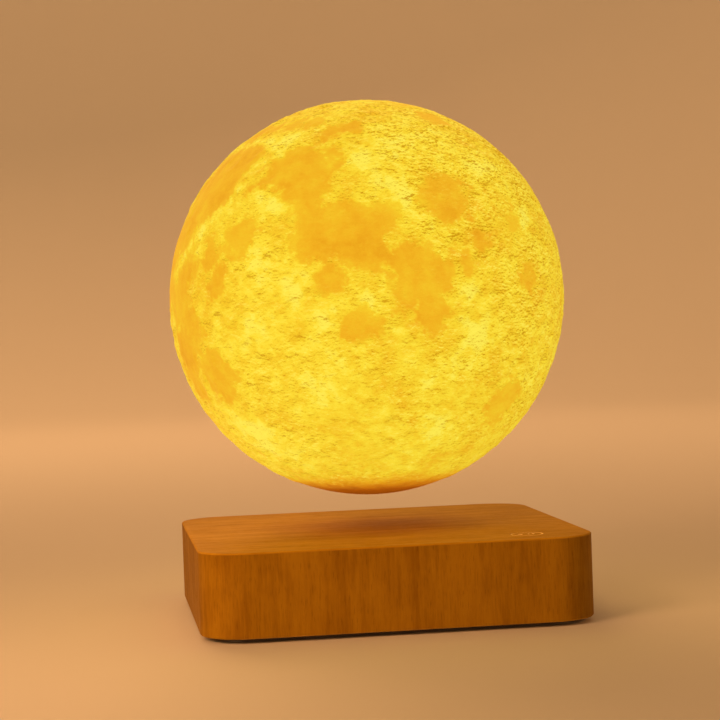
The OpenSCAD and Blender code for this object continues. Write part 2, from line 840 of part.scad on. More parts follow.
base_core();
side_veneer();
top_veneer();
bottom_plate();
plate_screws();
for (i = [1:4]) foot(i);
main_board();
board_screws();
magnet_carrier();
for (i = [1:ring_count]) ring_magnet(i);
power_coil_ferrite();
power_coil();
for (i = [1:4]) coil_bobbin(i);
for (i = [1:4]) coil_winding(i);
for (i = [1:4]) coil_core(i);
core_screws();
sensor_board();
field_sensors();
controller_chip();
driver_chips();
board_capacitors();
jack_body();
jack_nut();
jack_pin();
base_leads();
touch_electrode();
touch_board();
lift_magnet();
moon_shell();
shell_collar();
bottom_cap();
receiver_coil();
receiver_board();
receiver_parts();
receiver_screws();
led_post();
led_board();
leds();
led_leads();
led_screws();
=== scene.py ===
# %% [markdown]
# # A floating moon lamp
#
# The lamp is a glowing, printed moon that hangs over a square wooden base. Its solids are finished
# when this lesson starts: every board, screw and magnet is already in its place. What is left is
# how the lamp looks. We model the moon's surface, give every piece a finish and light the set.
#
# The solids are loaded first, because each later step takes its sizes and places from them.

# %% Load the solids
import json
import math
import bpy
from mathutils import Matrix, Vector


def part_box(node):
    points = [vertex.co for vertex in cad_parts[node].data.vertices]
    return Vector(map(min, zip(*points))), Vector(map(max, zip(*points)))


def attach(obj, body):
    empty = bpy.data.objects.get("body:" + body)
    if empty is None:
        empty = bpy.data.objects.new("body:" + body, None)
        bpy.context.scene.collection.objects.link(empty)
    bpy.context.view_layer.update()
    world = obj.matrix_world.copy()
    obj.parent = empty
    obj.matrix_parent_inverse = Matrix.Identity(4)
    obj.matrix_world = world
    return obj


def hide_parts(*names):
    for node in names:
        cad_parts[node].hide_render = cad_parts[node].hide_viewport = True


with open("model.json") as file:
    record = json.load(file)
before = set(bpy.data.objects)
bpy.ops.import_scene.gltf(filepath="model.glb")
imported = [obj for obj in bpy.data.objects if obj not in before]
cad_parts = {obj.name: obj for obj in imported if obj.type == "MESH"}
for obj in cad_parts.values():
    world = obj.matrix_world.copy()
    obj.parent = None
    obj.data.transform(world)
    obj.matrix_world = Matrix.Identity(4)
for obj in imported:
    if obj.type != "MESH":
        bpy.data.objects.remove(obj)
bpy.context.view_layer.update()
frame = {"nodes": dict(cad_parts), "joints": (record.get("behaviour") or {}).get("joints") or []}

from fnmatch import fnmatch

import bmesh
import bpy
import numpy as np
from mathutils import Euler, Quaternion, Vector, noise

nodes = frame["nodes"]
MM = 0.001

# %% Measure what the looks depend on
moon_middle = Vector(frame["joints"][1]["pos_m"])
moon_radius = moon_middle.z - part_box("bottom_cap")[0].z
top_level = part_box("top_veneer")[1].z
print("moon radius in mm:", round(moon_radius / MM, 2), "wood top in mm:", round(top_level / MM, 2))

# %% [markdown]
# ## Small helpers for shader trees
#
# A finish is a tree of nodes. Written out by hand, each node takes four or five lines, and the
# idea drowns in them. So one call adds a node, sets its properties and fills its inputs, with
# values or with other nodes' outputs.

# %% Add a node, do a sum and mix colours
def fill(tree, sockets, values):
    """Plugs each output into its socket, and sets each plain value."""
    for key, value in values.items():
        if isinstance(value, bpy.types.NodeSocket):
            tree.links.new(value, sockets[key])
        else:
            sockets[key].default_value = value


def add_node(tree, kind, inputs=None, **settings):
    node = tree.nodes.new("ShaderNode" + kind)
    for key, value in settings.items():
        setattr(node, key, value)
    fill(tree, node.inputs, inputs or {})
    return node


def calculate(tree, operation, first, second=0, third=0):
    inputs = {0: first, 1: second, 2: third}
    return add_node(tree, "Math", inputs, operation=operation).outputs[0]


def multiply(tree, first, second):
    return calculate(tree, "MULTIPLY", first, second)


def weigh(tree, start, *parts):
    """A start value plus, for each part, its value times its share."""
    for value, share in parts:
        start = calculate(tree, "MULTIPLY_ADD", value, share, start)
    return start


def mix_colours(tree, share, first, second, how="MIX"):
    inputs = {0: share, 6: first, 7: second}
    return add_node(tree, "Mix", inputs, data_type="RGBA", blend_type=how).outputs[2]


def stretch(tree, value, low, high, new_low=0, new_high=1):
    """A value's stretch from low to high, smoothed and clamped. High may be the smaller one."""
    inputs = {0: value, 1: low, 2: high, 3: new_low, 4: new_high}
    return add_node(tree, "MapRange", inputs, interpolation_type="SMOOTHSTEP").outputs[0]


# %% Vectors: squeeze one, compare two, take the height
def scaled(tree, place, scale, shift=(0, 0, 0)):
    return add_node(tree, "Mapping", {0: place, 1: shift, 3: scale}).outputs[0]


def flattened(tree, place, across, upright):
    """Noise on this place lies in flat flakes, because it changes faster upwards than across."""
    return scaled(tree, place, (across, across, upright))


def compare(tree, operation, first, second):
    """One number from two vectors, such as their distance."""
    inputs = {0: first, 1: second}
    return add_node(tree, "VectorMath", inputs, operation=operation).outputs["Value"]


def upward(tree, vector):
    return add_node(tree, "SeparateXYZ", {0: vector}).outputs["Z"]


# %% Noise, waves, colours and colour ramps
def clouds(tree, place, scale, detail=2, roughness=0.5, distortion=0):
    """Soft noise. Detail adds finer noise to it, and roughness says how much that counts."""
    inputs = {"Vector": place, "Scale": scale, "Detail": detail,
              "Roughness": roughness, "Distortion": distortion}
    return add_node(tree, "TexNoise", inputs).outputs[0]


def wave(tree, turns):
    return calculate(tree, "SINE", multiply(tree, turns, 2 * math.pi))


def colour(red, green, blue):
    """A screen's colour, from 0 to 255, as amounts of light."""
    shares = [c / 255 for c in (red, green, blue)]
    return (*[s / 12.92 if s < 0.04045 else ((s + 0.055) / 1.055) ** 2.4 for s in shares], 1)


def ramp(tree, value, stops):
    node = add_node(tree, "ValToRGB", {0: value})
    marks = node.color_ramp.elements
    marks[0].position, marks[0].color = stops[0]
    marks[1].position, marks[1].color = stops[-1]
    for position, shade in stops[1:-1]:
        marks.new(position).color = shade
    return node.outputs[0]


print("amber as light:", [round(c, 3) for c in colour(255, 190, 40)])

# %% [markdown]
# ## Effects that many finishes share
#
# Wear on edges, wood grain, the skin of moulded plastic, brushed metal, dust and print layers
# come back on several pieces. Each is built once as a node group with named inputs and outputs,
# and each finish places it with its own numbers. The groups put out only masks and heights. The
# shader itself, and the tint, stay in the finish, so that one grain can serve pale and dark wood.

# %% Make an effect and place it
def make_effect(name, build, *amounts):
    """A group of nodes. Build gets its tree and inputs, and returns its outputs by their names."""
    tree = bpy.data.node_groups.new(name, "ShaderNodeTree")
    tree.interface.new_socket(name="Place", in_out="INPUT", socket_type="NodeSocketVector")
    for label in amounts:
        tree.interface.new_socket(name=label, in_out="INPUT", socket_type="NodeSocketFloat")
    outputs = build(tree, tree.nodes.new("NodeGroupInput").outputs)
    for label in outputs:
        tree.interface.new_socket(name=label, in_out="OUTPUT", socket_type="NodeSocketFloat")
    fill(tree, tree.nodes.new("NodeGroupOutput").inputs, outputs)
    print("effect:", name, "gives", ", ".join(outputs))
    return tree


def place_effect(tree, effect, **inputs):
    return add_node(tree, "Group", inputs, node_tree=effect).outputs


# %% [markdown]
# ### Edge wear
#
# Hands and tables rub a lamp's edges first. A Bevel node gives the normal that the surface would
# have if its edges were rounded. Where that differs from the true normal, there is an edge. Cloudy
# noise breaks the line up, because wear is never even.

# %% Edge wear
def build_edge_wear(tree, given):
    rounded = add_node(tree, "Bevel", {0: given["Width"]}, samples=4).outputs[0]
    true_normal = add_node(tree, "NewGeometry").outputs["True Normal"]
    likeness = compare(tree, "DOT_PRODUCT", rounded, true_normal)
    edge = stretch(tree, calculate(tree, "SUBTRACT", 1, likeness), 0.01, 0.16)
    patches = stretch(tree, clouds(tree, given["Place"], 260, 4, 0.6), 0.38, 0.62)
    return {"Wear": multiply(tree, edge, patches)}


edge_wear = make_effect("edge_wear", build_edge_wear, "Width")


def rub_edges(tree, place, width, share, body, bare):
    """A body colour that shows some of a bare one where its edges are rubbed."""
    wear = place_effect(tree, edge_wear, Place=place, Width=width)["Wear"]
    return mix_colours(tree, multiply(tree, wear, share), body, bare)


# %% [markdown]
# ### Wood grain
#
# Veneer shows three things at once: broad bands of growth, narrow streaks, and
# fine dark pores. All three are noise, pulled long in the direction of the grain. The group takes
# a place that has already been squeezed along the grain, so the finish decides which way it runs.

# %% Wood grain
def build_wood_grain(tree, given):
    place = given["Place"]
    bands = clouds(tree, place, 0.075, 3, 0.55, 0.4)
    broad = clouds(tree, place, 0.3, 4, 0.6, 0.3)
    fine = clouds(tree, place, 1.3, 4, 0.62)
    streaks = weigh(tree, 0, (broad, 0.58), (fine, 0.42))
    return {"Bands": stretch(tree, bands, 0.32, 0.68),
            "Streaks": stretch(tree, streaks, 0.34, 0.66),
            "Pores": stretch(tree, clouds(tree, place, 3.1, 1), 0.58, 0.72)}


wood_grain = make_effect("wood_grain", build_wood_grain)

# %% [markdown]
# ### Moulded skin, brushed metal and dust
#
# Moulded plastic has a fine even roughness from its mould. Turned and plated metal has long
# hairline marks. Dust settles on what faces up. Each is one or two noises with a mask.

# %% Moulded skin
def build_moulded_skin(tree, given):
    scale = calculate(tree, "DIVIDE", 1, given["Size"])
    broad = multiply(tree, scale, 0.04)
    return {"Height": clouds(tree, given["Place"], scale, 2, 0.6),
            "Mottle": clouds(tree, given["Place"], broad, 4, 0.6)}


moulded_skin = make_effect("moulded_skin", build_moulded_skin, "Size")


# %% Brushed metal
def build_brushed_metal(tree, given):
    lines = clouds(tree, scaled(tree, given["Place"], (60, 4000, 4000)), 1, 3, 0.6)
    return {"Lines": stretch(tree, lines, 0.3, 0.7),
            "Stain": clouds(tree, given["Place"], 180, 5, 0.62)}


brushed_metal = make_effect("brushed_metal", build_brushed_metal)


# %% Dust on what faces up
def build_dust(tree, given):
    normal = add_node(tree, "NewGeometry").outputs["Normal"]
    specks = stretch(tree, clouds(tree, given["Place"], 900, 3, 0.7), 0.52, 0.74)
    film = stretch(tree, clouds(tree, given["Place"], 40, 4, 0.6), 0.35, 0.8, 0.1, 0.5)
    settled = multiply(tree, stretch(tree, upward(tree, normal), 0.6, 1), film)
    return {"Dust": multiply(tree, settled, specks)}


dust = make_effect("dust", build_dust)


def settle_dust(tree, place, share, body, grey):
    specks = place_effect(tree, dust, Place=place)["Dust"]
    return mix_colours(tree, multiply(tree, specks, share), body, grey)


# %% [markdown]
# ### The printed surface
#
# The moon is printed in thin flat layers, and its relief is carved into them. Where the ground is nearly
# level, a layer's edge wanders over it like a contour line on a map. Close up the surface also breaks into
# flat crumbs, each a little brighter or darker than the next. Cells with a random tone give the crumbs, and
# a wave in height that noise pushes up and down gives the wandering edges. For the small steps of the
# relief we take the same noise twice, the second a little higher up, and subtract. What is left is painted
# light and shade: bright on slopes that face one way and dark on the others.

# %% Crumbs
def crumbs(tree, place, scale):
    """A tone from 0 to 1 for each crumb."""
    drift = add_node(tree, "TexNoise", {"Vector": place, "Scale": 0.9, "Detail": 3})
    inputs = {0: drift.outputs["Color"], 1: (1.5, 1.5, 1.5), 2: place}
    crooked = add_node(tree, "VectorMath", inputs, operation="MULTIPLY_ADD").outputs[0]
    cell = add_node(tree, "TexVoronoi", {"Vector": crooked, "Scale": scale})
    return add_node(tree, "SeparateColor", {0: cell.outputs["Color"]}).outputs["Red"]


# %% Wandering edges of the layers
EDGE_SPACING = 1.15 * MM
EDGE_WANDER = 4


def layer_edges(tree, place, height):
    """Thin lines, one above the other, that wander and break off."""
    wander = clouds(tree, flattened(tree, place, 210, 330), 1, 4, 0.62)
    turns = weigh(tree, 0, (height, 1 / EDGE_SPACING), (wander, EDGE_WANDER))
    gaps = clouds(tree, flattened(tree, place, 260, 420), 1, 3, 0.6)
    lines = stretch(tree, wave(tree, turns), 0.3, 0.95)
    return multiply(tree, lines, stretch(tree, gaps, 0.46, 0.62))


# %% Steps as one-sided light shows them
STEP_RISE, STEP_CONTRAST = 0.4, 4


def lit_steps(tree, place):
    """The difference between a relief and the same relief a little higher up, about -1 to 1."""
    lower = clouds(tree, place, 1, 3, 0.6)
    higher_place = scaled(tree, place, (1, 1, 1), (0, 0, STEP_RISE))
    upper = clouds(tree, higher_place, 1, 3, 0.6)
    return weigh(tree, 0, (lower, STEP_CONTRAST), (upper, -STEP_CONTRAST))


# %% Print layers
LAYER = 0.3 * MM


def build_print_layers(tree, given):
    place = given["Place"]
    height = upward(tree, place)
    crumbly = flattened(tree, place, 330, 480)
    coarse, fine = crumbs(tree, crumbly, 0.8), crumbs(tree, crumbly, 2)
    ridges = wave(tree, multiply(tree, height, 1 / LAYER))
    # The first output is painted light and shade of the small steps: bright on one side, dark on the other.
    return {"Step Shading": lit_steps(tree, flattened(tree, place, 640, 980)),
            "Crumbs": weigh(tree, -1, (coarse, 1), (fine, 1)),
            "Edges": layer_edges(tree, place, height),
            "Specks": clouds(tree, flattened(tree, place, 1250, 1900), 1, 2, 0.6),
            "Layers": weigh(tree, 0.5, (ridges, 0.5))}


print_layers = make_effect("print_layers", build_print_layers)

# %% [markdown]
# ### Tracks on a circuit board
#
# Copper tracks run under the green lacquer in short straight pieces, and bare round pads stick
# out of it. A brick pattern gives the tracks and a cell pattern gives the pads. Nobody will trace
# the circuit, but an even green slab would look like a toy.

# %% Circuit tracks
def build_circuit_tracks(tree, given):
    place = given["Place"]
    black, white = (0, 0, 0, 1), (1, 1, 1, 1)
    bricks = add_node(tree, "TexBrick", {
        "Vector": place, "Color1": black, "Color2": black, "Mortar": white,
        "Scale": 260, "Mortar Size": 0.035, "Brick Width": 1.3, "Row Height": 0.42}, offset=0.37)
    cells = add_node(tree, "TexVoronoi", {"Vector": place, "Scale": 240, "Randomness": 0.55})
    return {"Tracks": bricks.outputs["Color"],
            "Pads": stretch(tree, cells.outputs["Distance"], 0.17, 0.13)}


circuit_tracks = make_effect("circuit_tracks", build_circuit_tracks)

# %% [markdown]
# ## Finishes
#
# A finish starts from one shader and the piece's own coordinates. The coordinates are the
# object's, in metres, so a streak that is a millimetre wide stays a millimetre wide on any piece,
# and it stays on the piece when the piece moves.

# %% Start a finish, emboss it and put it on
def new_finish(name, **values):
    finish = bpy.data.materials.new(name)
    finish.use_nodes = True
    tree = finish.node_tree
    shader = tree.nodes["Principled BSDF"].inputs
    fill(tree, shader, {label.replace("_", " "): value for label, value in values.items()})
    return finish, tree, shader, add_node(tree, "TexCoord").outputs["Object"]


def emboss(tree, shader, height, depth, strength):
    inputs = {"Height": height, "Distance": depth, "Strength": strength}
    tree.links.new(add_node(tree, "Bump", inputs).outputs[0], shader["Normal"])


def dress(finish, *names):
    """Gives solids their finish. A star in a name stands for any letters."""
    chosen = [node for node in nodes if any(fnmatch(node, name) for name in names)]
    for node in chosen:
        for holder in nodes[node].material_slots:
            holder.material = finish
    print("finish:", finish.name, "on", len(chosen), "pieces")


# %% [markdown]
# ### Veneer
#
# The base wears two veneers. Round the sides the grain stands upright, and on top it lies from left to
# right. Both are honey brown under a satin lacquer, but the top's tones are painted lighter, as painted
# light from the moon above it. The same function makes both: it squeezes the coordinates along another axis
# and takes other tones. A pattern in space runs round a corner without a seam, as wrapped veneer does.

# %% Veneer
ALONG, ACROSS = 80, 1000
SIDE_WOOD = [(0.221, 0.099, 0.0018, 1), (0.267, 0.129, 0.0037, 1), (0.308, 0.153, 0.0055, 1)]
# The top's tones are lighter than the sides': painted light, as if from the moon above it.
TOP_WOOD_PAINTED_LIGHTER = [(0.34, 0.165, 0.006, 1), (0.39, 0.198, 0.009, 1), (0.44, 0.232, 0.013, 1)]


def veneer_finish(name, squeeze, dark, middle, light):
    finish, tree, shader, place = new_finish(name, Specular_IOR_Level=0.04)
    grain = place_effect(tree, wood_grain, Place=scaled(tree, place, squeeze))
    figure = stretch(tree, clouds(tree, place, 75, 3, 0.55), 0.3, 0.7)
    tone = weigh(tree, 0, (grain["Bands"], 0.2), (grain["Streaks"], 0.56), (figure, 0.24))
    wood = ramp(tree, tone, [(0.2, dark), (0.5, middle), (0.8, light)])
    pores = multiply(tree, grain["Pores"], 0.26)
    with_pores = mix_colours(tree, pores, wood, dark, "MULTIPLY")
    rubbed = rub_edges(tree, place, 0.5 * MM, 0.1, with_pores, light)
    dusted = settle_dust(tree, place, 0.12, rubbed, (0.5, 0.45, 0.4, 1))
    roughness = weigh(tree, 0.58, (grain["Streaks"], -0.08), (grain["Pores"], 0.25))
    fill(tree, shader, {"Base Color": dusted, "Roughness": roughness})
    emboss(tree, shader, weigh(tree, grain["Streaks"], (grain["Pores"], -0.8)), 0.06 * MM, 0.35)
    return finish, tree, shader, place, dusted


dress(veneer_finish("side_veneer", (ACROSS, ACROSS, ALONG), *SIDE_WOOD)[0], "side_veneer")

# %% [markdown]
# The top veneer also carries the touch mark: a ring round a dot and two arcs, engraved a quarter
# of a millimetre deep and filled with a pale, thin paint. The engraving is in the solid, so height
# finds it: whatever is lower than the top face is painted, floor and walls alike. From a low eye
# only the walls show. The veneer's own edge is lower too, so the paint also has to be near the
# middle of the mark, which lies right over the key's electrode.

# %% Top veneer with its painted mark
PAINT_BELOW = 0.02 * MM
MARK_REACH = 7 * MM
PAINT = (0.86, 0.65, 0.3, 1)
key_low, key_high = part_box("touch_electrode")
mark_middle = (*((key_low + key_high) / 2).to_2d(), top_level)
print("mark at, in mm:", [round(c / MM, 1) for c in mark_middle])


def top_veneer_finish():
    lying = (ALONG, ACROSS, ACROSS)
    finish, tree, shader, place, wood = veneer_finish("top_veneer", lying, *TOP_WOOD_PAINTED_LIGHTER)
    sunk = calculate(tree, "LESS_THAN", upward(tree, place), top_level - PAINT_BELOW)
    off_mark = compare(tree, "DISTANCE", place, mark_middle)
    on_mark = calculate(tree, "LESS_THAN", off_mark, MARK_REACH)
    worn = stretch(tree, clouds(tree, place, 1500, 3, 0.6), 0.3, 0.6, 0.8, 1)
    paint = multiply(tree, multiply(tree, sunk, on_mark), worn)
    tree.links.new(mix_colours(tree, paint, wood, PAINT), shader["Base Color"])
    return finish


dress(top_veneer_finish(), "top_veneer")

# %% [markdown]
# Under the veneer the base is a plain milled block. It shows only from below and inside the
# socket's hole, so it gets paler, coarser wood with the marks of the cutter.

# %% Milled core
PALE_WOOD = [(0.1, (0.42, 0.25, 0.12, 1)), (0.9, (0.62, 0.43, 0.25, 1))]


def wood_core_finish():
    finish, tree, shader, place = new_finish("wood_core", Roughness=0.7)
    grain = place_effect(tree, wood_grain, Place=scaled(tree, place, (ALONG, ACROSS, ACROSS)))
    wood = ramp(tree, grain["Streaks"], PALE_WOOD)
    tree.links.new(mix_colours(tree, grain["Pores"], wood, (0.3, 0.17, 0.08, 1)), shader["Base Color"])
    cutter = clouds(tree, flattened(tree, place, 300, 2200), 1, 2)
    emboss(tree, shader, cutter, 0.08 * MM, 0.4)
    return finish


dress(wood_core_finish(), "base_core")

# %% [markdown]
# ### Plastics
#
# The plate, the magnet carrier, the chips and the socket are all dark plastic, and would melt into
# one black shape if they were equally dark and equally smooth. They differ in the size of the
# mould's grain, in gloss and in how wide their edges have paled. One function takes those, for the
# rubber, the leads, the bobbins and the ferrite as well. Each row of the table is a dark and a pale
# tone, the gloss, the grain's size and the edge's width in millimetres, and the pieces.

# %% Plastics
PLASTICS = {
    "black_plastic": [(0.02, 0.012, 0.012, 1), (0.036, 0.025, 0.024, 1), 0.35, 0.35, 0.4,
                      "bottom_plate", "magnet_carrier"],
    "chip_black": [(0.014, 0.014, 0.015, 1), (0.03, 0.03, 0.031, 1), 0.45, 0.12, 0.2,
                   "controller_chip", "driver_chips", "field_sensors", "receiver_parts"],
    "socket_black": [(0.009, 0.009, 0.01, 1), (0.016, 0.016, 0.017, 1), 0.72, 0.2, 0.4, "jack_body"],
    "foot_rubber": [(0.03, 0.03, 0.03, 1), (0.055, 0.053, 0.051, 1), 0.1, 0.5, 0.4, "foot_*"],
    "bobbin_ivory": [(0.66, 0.62, 0.5, 1), (0.76, 0.73, 0.62, 1), 0.45, 0.3, 0.4, "coil_bobbin_*"],
    "lead_red": [(0.33, 0.02, 0.015, 1), (0.42, 0.035, 0.025, 1), 0.55, 0.3, 0.4,
                 "base_leads", "led_leads"],
    "ferrite": [(0.03, 0.03, 0.033, 1), (0.05, 0.05, 0.055, 1), 0.25, 0.18, 0.4, "power_coil_ferrite"],
}
PALING = 2.2


def plastic_finish(name, dark, pale, gloss, grain_size, edge_width):
    finish, tree, shader, place = new_finish(name)
    skin = place_effect(tree, moulded_skin, Place=place, Size=grain_size)
    body = mix_colours(tree, stretch(tree, skin["Mottle"], 0.3, 0.7), dark, pale)
    paled = (*[PALING * c for c in pale[:3]], 1)
    rubbed = rub_edges(tree, place, edge_width, 0.6, body, paled)
    dusted = settle_dust(tree, place, 0.25, rubbed, (0.35, 0.33, 0.3, 1))
    fill(tree, shader, {"Base Color": dusted, "Roughness": weigh(tree, 0.9 - gloss, (skin["Mottle"], 0.2))})
    emboss(tree, shader, skin["Height"], grain_size * 0.2, 0.4 if gloss < 0.5 else 0.12)
    return finish


for name, (dark, pale, gloss, grain_size, edge_width, *pieces) in PLASTICS.items():
    dress(plastic_finish(name, dark, pale, gloss, grain_size * MM, edge_width * MM), *pieces)

# %% [markdown]
# ### Metals
#
# Nickel, steel, copper, brass and aluminium differ in tint and in how rough they are. Hairlines
# and faint stains on top of that keep a bare disc from looking like a mirror cut out of paper. Each
# row of the table is the clean and the stained tint, the roughness, and the pieces.

# %% Metals
METALS = {
    "screw_steel": [(0.58, 0.57, 0.55, 1), (0.42, 0.4, 0.37, 1), 0.24, "*_screws"],
    "magnet_plate": [(0.68, 0.66, 0.62, 1), (0.52, 0.5, 0.46, 1), 0.1,
                     "ring_magnet_*", "lift_magnet", "jack_nut"],
    "core_steel": [(0.36, 0.35, 0.34, 1), (0.24, 0.21, 0.19, 1), 0.32, "coil_core_*"],
    "copper": [(0.72, 0.28, 0.13, 1), (0.5, 0.15, 0.06, 1), 0.22,
               "power_coil", "coil_winding_*", "receiver_coil", "touch_electrode"],
    "brass_contact": [(0.8, 0.56, 0.24, 1), (0.6, 0.38, 0.14, 1), 0.15, "jack_pin"],
    "post_aluminium": [(0.7, 0.7, 0.71, 1), (0.56, 0.56, 0.57, 1), 0.28, "led_post"],
    "capacitor_can": [(0.2, 0.22, 0.34, 1), (0.14, 0.15, 0.25, 1), 0.3, "board_capacitors"],
}


def metal_finish(name, tint, stained, roughness):
    finish, tree, shader, place = new_finish(name, Metallic=1)
    marks = place_effect(tree, brushed_metal, Place=place)
    body = mix_colours(tree, stretch(tree, marks["Stain"], 0.4, 0.75), tint, stained)
    rubbed = rub_edges(tree, place, 0.25 * MM, 0.5, body, (0.95, 0.93, 0.9, 1))
    lines = weigh(tree, roughness, (marks["Lines"], 0.16))
    fill(tree, shader, {"Base Color": rubbed, "Roughness": lines})
    emboss(tree, shader, marks["Lines"], 0.01 * MM, 0.3)
    return finish


for name, (tint, stained, roughness, *pieces) in METALS.items():
    dress(metal_finish(name, tint, stained, roughness), *pieces)

# %% [markdown]
# ### Circuit boards
#
# Lacquer over fine tracks, with bare pads. The light board has white lacquer, which throws light
# forward, and the others are green. The chips on it glow through a dab of yellow phosphor.

# %% Circuit boards
def board_finish(name, lacquer, over_tracks, pad):
    finish, tree, shader, place = new_finish(name)
    marks = place_effect(tree, circuit_tracks, Place=place)
    face = mix_colours(tree, marks["Tracks"], lacquer, over_tracks)
    bare = mix_colours(tree, marks["Pads"], face, pad)
    rubbed = rub_edges(tree, place, 0.3 * MM, 1, bare, (0.55, 0.5, 0.35, 1))
    roughness = weigh(tree, 0.36, (marks["Pads"], -0.12))
    fill(tree, shader, {"Base Color": rubbed, "Metallic": marks["Pads"], "Roughness": roughness})
    emboss(tree, shader, calculate(tree, "ADD", marks["Tracks"], marks["Pads"]), 0.03 * MM, 0.5)
    return finish


dress(board_finish("green_board", (0.008, 0.1, 0.035, 1), (0.02, 0.18, 0.07, 1), (0.75, 0.7, 0.55, 1)),
      "main_board", "sensor_board", "touch_board", "receiver_board")
dress(board_finish("white_board", (0.82, 0.82, 0.8, 1), (0.74, 0.74, 0.72, 1), (0.8, 0.78, 0.7, 1)),
      "led_board")


# %% Light chips
def light_chip_finish():
    finish, tree, shader, place = new_finish("light_chip", Roughness=0.3, Emission_Strength=6)
    skin = place_effect(tree, moulded_skin, Place=place, Size=0.4 * MM)
    phosphor = mix_colours(tree, skin["Mottle"], (1, 0.62, 0.12, 1), (1, 0.8, 0.3, 1))
    fill(tree, shader, {"Base Color": phosphor, "Emission Color": phosphor})
    emboss(tree, shader, skin["Height"], 0.05 * MM, 0.3)
    return finish


dress(light_chip_finish(), "leds")

# %% [markdown]
# ## The moon
#
# The real lamp's moon is a map of the real one, printed thinner where it should be brighter and
# with true, if exaggerated, relief. A smooth ball with a picture of craters would give itself away
# at its edge and under raking light. So the relief is modelled: a fine ball whose vertices
# are moved in and out by a height that we work out from the moon's own features.
#
# First the features, as places on the moon: latitude north, longitude east and size. The moon is
# turned so that its north pole leans back and its eastern near side faces us.

# %% How the moon is turned
POLE_TILT, SIDE_TILT, SPIN = 5.5, -5.5, -133.4
moon_turn = Euler([math.radians(a) for a in (POLE_TILT, SIDE_TILT, SPIN)], "XYZ").to_matrix()


def towards(latitude, longitude):
    """The direction from the moon's middle to a place on it, in the lamp's own axes."""
    lat, lon = math.radians(latitude), math.radians(longitude)
    place = Vector((math.cos(lat) * math.cos(lon), math.cos(lat) * math.sin(lon), math.sin(lat)))
    return np.array(moon_turn @ place)


print("the north pole points to", np.round(towards(90, 0), 3))

# %% [markdown]
# The dark plains are round patches, most of them several together, each with a radius in degrees.
# Their smooth, darker orange is what makes the lamp read as our moon. Mountain chains cut through
# them as narrow bright strips, and pale ground lies in wide soft patches on the high ground.

# %% Plains, mountain chains and pale ground
PLAINS = [
    (28.9, 17.1, 10.7), (19.6, 19.6, 5.1), (9.5, 22.7, 8.2), (9.5, 32.3, 9.1), (12.2, 40.5, 5.5),
    (4.1, 36.9, 5.5), (-2.3, 25.9, 4.1), (31, 9.5, 6), (-3, 52, 8.4), (0.5, 46, 5.8),
    (-7, 46.5, 5.2), (-12.5, 54, 5.4), (19.6, 60, 8.1), (-15.5, 33, 4.9), (12.5, -1.6, 6.1),
    (8.9, -12.8, 4.7), (0.4, -11, 4.2), (32.7, -14.8, 13.4), (26.4, -26.5, 12.6), (41.7, -21.6, 8.8),
    (10.9, -26.1, 8.7), (19.1, -40.4, 9.9), (-0.6, -32, 8.7), (-11.1, -25.2, 6.2), (-24.3, -18.2, 7.1),
    (-15.1, -32.8, 6.8), (44.5, 25, 2.9), (35.5, 26.5, 3.4), (54.4, -19.8, 3.1), (54.5, -7, 2.9),
    (53.4, 5.1, 3.1), (52.1, 16.3, 2.6), (47.5, 33, 2.7), (5.9, 69.9, 3), (1.3, 63.9, 2.4),
    (13, 83, 3.6), (-3, 87, 4.2), (53.4, 74.6, 4.1), (-37.6, 87.5, 6.7), (27.3, 147.9, 4.8),
    (-33.7, 163.5, 5.4), (-19.4, -92.8, 5.4), (18.4, -57.4, 11), (6.3, -46.6, 10.9), (31, -58, 9),
    (42, -62, 7), (-24.4, -36.4, 6.3), (-45, 150, 4), (10, 129, 3.6),
]
MOUNTAINS = [
    ((47, 9), (35, -0.5), 3), ((35, -0.5), (24.5, -5), 3.3), ((24.5, -5), (15.6, -20.3), 2.7),
    ((25.5, 2.4), (17.9, 13.2), 2.3), ((15.6, -20.3), (7.2, -34.8), 1.5), ((45.5, -1), (48.2, -30.3), 1.3),
]
PALE_GROUND = [
    (20, 46, 3.8), (16.2, 49.5, 3.3), (12, 53.5, 3.2), (8, 58.5, 3), (24, 42, 3.4),
    (32.5, 35, 6), (38.1, 43.9, 7.5),
    (4.1, 6.7, 6), (-4.2, 14.9, 5.5), (-14.3, 22.2, 4.6), (-23.4, 26.9, 5.5), (-9.2, 35.5, 3.6),
    (1.3, 31.4, 2.4), (17.5, 5, 2.2), (18.3, 12.8, 1.5), (4, 14, 1.4), (-7.9, 62.5, 3.1),
    (-45.3, -17.6, 8.6), (-46.8, 58.7, 8.4), (26.6, -3.1, 3.3), (8.1, -33.4, 3.4), (-33.6, 19.8, 7.4),
    (-19.1, 67, 7.4), (30.5, 79.4, 7.6), (14.7, 90.3, 4.8), (42.4, 66, 7.6), (-11.7, 3, 5.5),
    (-31.2, 94.5, 7.7), (0, 128, 9), (30, 170, 10), (-20, -160, 9), (20, -120, 9),
]
KM_TO_DEGREES = 180 / (math.pi * 1737.4)
